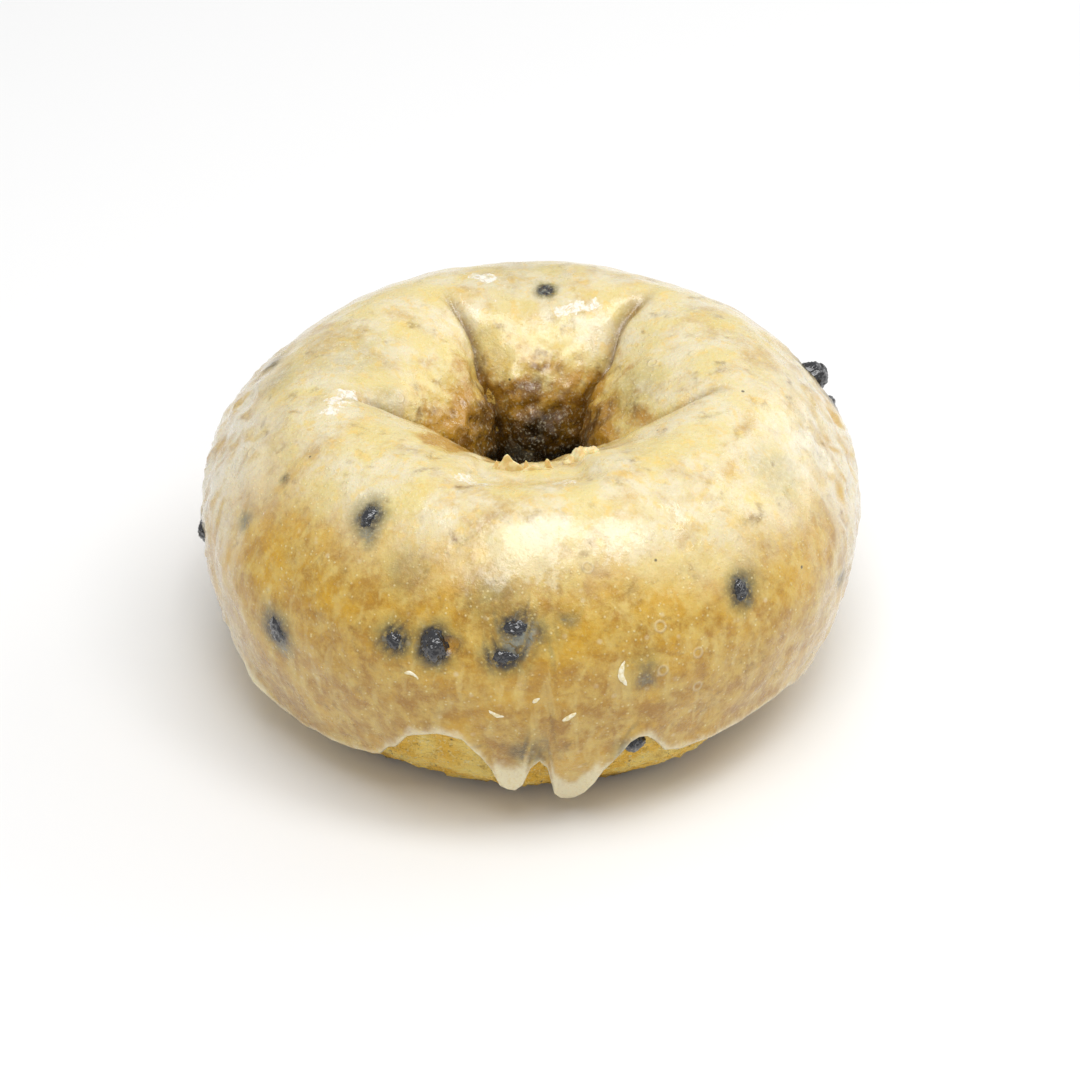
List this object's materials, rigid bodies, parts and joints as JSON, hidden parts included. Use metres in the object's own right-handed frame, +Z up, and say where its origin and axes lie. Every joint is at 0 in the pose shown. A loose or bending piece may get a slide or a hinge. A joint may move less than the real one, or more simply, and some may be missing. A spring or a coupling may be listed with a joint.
{
  "type": "doughnut",
  "caption": "Thick glazed ring doughnut with a pleated centre hole, a translucent sugar glaze that drips over bare dough at the base, and dark berry pieces in its skin.",
  "frame": {"origin": "centre of the bounding box, at the flat foot that rests on the table", "axes": "+Z up along the hole's axis; -Y faces the side with the two long drips and the open berry"},
  "size_m": [0.0852, 0.085, 0.042],
  "materials": {
    "dough": "matte",
    "glaze": "gloss",
    "berry": "satin"
  },
  "bodies": {
    "root": {"dough_ring": "dough", "glaze_coat": "glaze", "berry_back_crest": "berry", "berry_left_crest": "berry", "berry_left_shoulder": "berry", "berry_left_side": "berry", "berry_left_belly": "berry", "berry_front_small": "berry", "berry_front_open": "berry", "berry_front_upper": "berry", "berry_front_lower": "berry", "berry_front_faint": "berry", "berry_right_shoulder": "berry", "berry_right_belly": "berry", "berry_drip": "berry", "berry_rim": "berry", "berry_far_right": "berry", "berry_far_side": "berry", "berry_back_shoulder": "berry", "berry_back_open": "berry", "berry_back_side": "berry", "berry_back_rim": "berry", "berry_back_left": "berry", "berry_right_side": "berry"}
  },
  "joints": []
}
